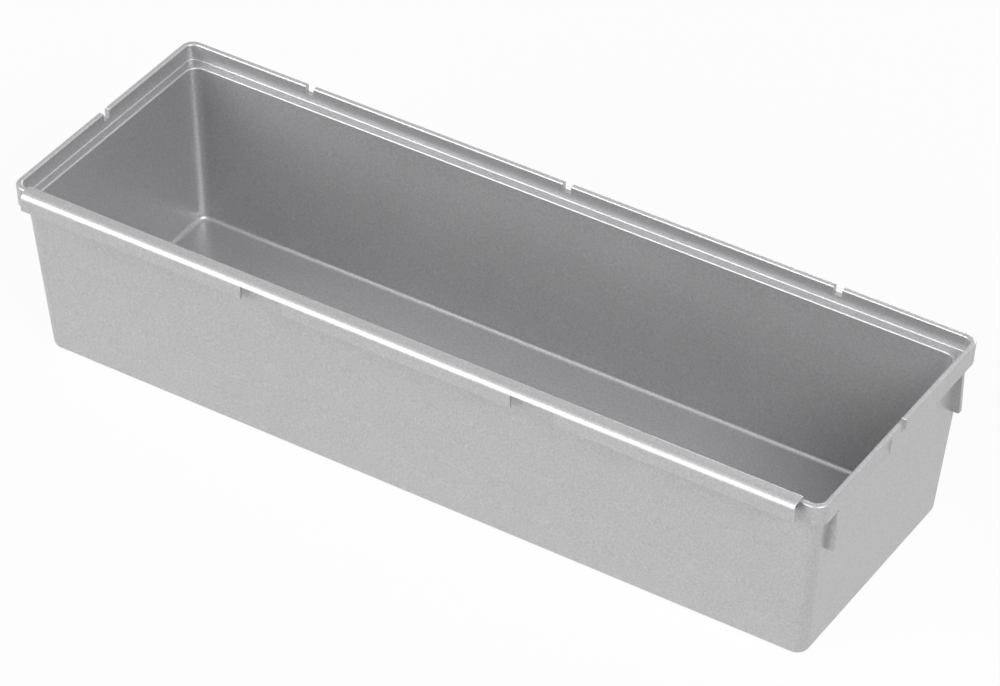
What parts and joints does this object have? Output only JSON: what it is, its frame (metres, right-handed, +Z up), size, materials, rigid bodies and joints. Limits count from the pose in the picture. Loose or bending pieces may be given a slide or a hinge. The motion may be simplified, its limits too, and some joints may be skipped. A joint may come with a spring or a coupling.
{
  "type": "drawer organizer tray",
  "caption": "Long tapered open storage tray with a stepped, ledged collar, a hook rail with hanging skirts along one side, and locating notches for joining trays.",
  "frame": {"origin": "centre of the flat underside, below the middle of the collar", "axes": "+X along the length, towards the end with the two fins; +Y across, away from the hook rail; +Z up, out of the open mouth"},
  "size_m": [0.2284, 0.0786, 0.0516],
  "materials": {
    "satin_silver": "satin silver-grey moulded plastic, fine grain"
  },
  "bodies": {
    "root": {"tray_shell": "satin_silver", "rim_collar": "satin_silver", "hook_rail": "satin_silver", "skirt_left": "satin_silver", "skirt_middle": "satin_silver", "skirt_right": "satin_silver", "locating_rib_left": "satin_silver", "locating_rib_middle": "satin_silver", "locating_rib_right": "satin_silver", "end_fin_front": "satin_silver", "end_fin_back": "satin_silver"}
  },
  "joints": []
}
